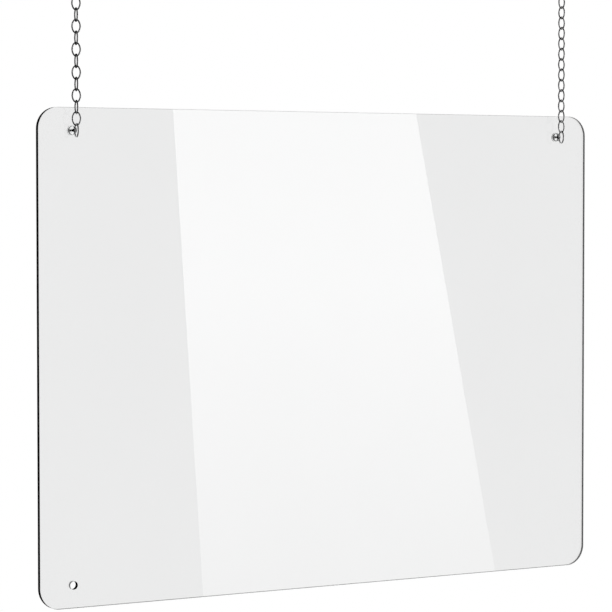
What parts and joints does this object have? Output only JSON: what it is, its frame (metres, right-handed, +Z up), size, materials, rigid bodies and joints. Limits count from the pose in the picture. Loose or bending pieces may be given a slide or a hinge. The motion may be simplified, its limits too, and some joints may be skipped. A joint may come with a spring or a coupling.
{
  "type": "hanging sneeze guard",
  "caption": "Clear acrylic sneeze guard panel with rounded corners, hung from ceiling hooks by two steel link chains fastened through its top corners.",
  "frame": {"origin": "on the ceiling plane, halfway between the two ceiling hooks", "axes": "+Z up; +X along the panel's width, to the right for someone facing it from the chain side; -Y is the side the chains hang on, so +Y is out of the panel's back"},
  "size_m": [0.8128, 0.0258, 0.8251],
  "materials": {
    "clear_acrylic": "polished, clear",
    "clear_washer": "polished, clear",
    "bolt_steel": "zinc plated",
    "clear_nut": "moulded, clear",
    "chain_steel": "zinc plated",
    "hook_steel": "zinc plated"
  },
  "bodies": {
    "ceiling": {"left_ceiling_hook": "hook_steel", "right_ceiling_hook": "hook_steel"},
    "left_top_link": {"left_chain_link_14": "chain_steel"},
    "left_chain": {"left_chain_link_02": "chain_steel", "left_chain_link_03": "chain_steel", "left_chain_link_04": "chain_steel", "left_chain_link_05": "chain_steel", "left_chain_link_06": "chain_steel", "left_chain_link_07": "chain_steel", "left_chain_link_08": "chain_steel", "left_chain_link_09": "chain_steel", "left_chain_link_10": "chain_steel", "left_chain_link_11": "chain_steel", "left_chain_link_12": "chain_steel", "left_chain_link_13": "chain_steel"},
    "left_end_link": {"left_chain_link_01": "chain_steel"},
    "panel": {"acrylic_panel": "clear_acrylic", "left_eye_bolt": "bolt_steel", "left_front_washer": "clear_washer", "left_rear_washer": "clear_washer", "left_nut": "clear_nut", "right_eye_bolt": "bolt_steel", "right_front_washer": "clear_washer", "right_rear_washer": "clear_washer", "right_nut": "clear_nut"},
    "right_top_link": {"right_chain_link_14": "chain_steel"},
    "right_chain": {"right_chain_link_02": "chain_steel", "right_chain_link_03": "chain_steel", "right_chain_link_04": "chain_steel", "right_chain_link_05": "chain_steel", "right_chain_link_06": "chain_steel", "right_chain_link_07": "chain_steel", "right_chain_link_08": "chain_steel", "right_chain_link_09": "chain_steel", "right_chain_link_10": "chain_steel", "right_chain_link_11": "chain_steel", "right_chain_link_12": "chain_steel", "right_chain_link_13": "chain_steel"},
    "right_end_link": {"right_chain_link_01": "chain_steel"}
  },
  "joints": [
    {"name": "swing", "type": "hinge", "parent": "ceiling", "child": "left_top_link", "pos_m": [-0.36, 0, -0.0196], "axis": [1, 0, 0], "range_deg": [-15, 15]},
    {"name": "sway", "type": "hinge", "parent": "left_top_link", "child": "left_chain", "pos_m": [-0.36, 0, -0.0329], "axis": [0, 1, 0], "range_deg": [-12, 12]},
    {"name": "left_level", "type": "hinge", "parent": "left_chain", "child": "left_end_link", "pos_m": [-0.36, 0, -0.1997], "axis": [0, 1, 0], "range_deg": [-12, 12]},
    {"name": "tilt", "type": "hinge", "parent": "left_end_link", "child": "panel", "pos_m": [-0.36, 0, -0.2136], "axis": [1, 0, 0], "range_deg": [-20, 7]},
    {"name": "right_swing", "type": "hinge", "parent": "ceiling", "child": "right_top_link", "pos_m": [0.36, 0, -0.0196], "axis": [1, 0, 0], "range_deg": [-15, 15]},
    {"name": "right_sway", "type": "hinge", "parent": "right_top_link", "child": "right_chain", "pos_m": [0.36, 0, -0.0329], "axis": [0, 1, 0], "range_deg": [-12, 12]},
    {"name": "right_level", "type": "hinge", "parent": "right_chain", "child": "right_end_link", "pos_m": [0.36, 0, -0.1997], "axis": [0, 1, 0], "range_deg": [-12, 12]}
  ],
  "couplings": [
    {"joint": "left_level", "follows": "sway", "ratio": -1},
    {"joint": "right_swing", "follows": "swing", "ratio": 1},
    {"joint": "right_sway", "follows": "sway", "ratio": 1},
    {"joint": "right_level", "follows": "sway", "ratio": -1}
  ]
}
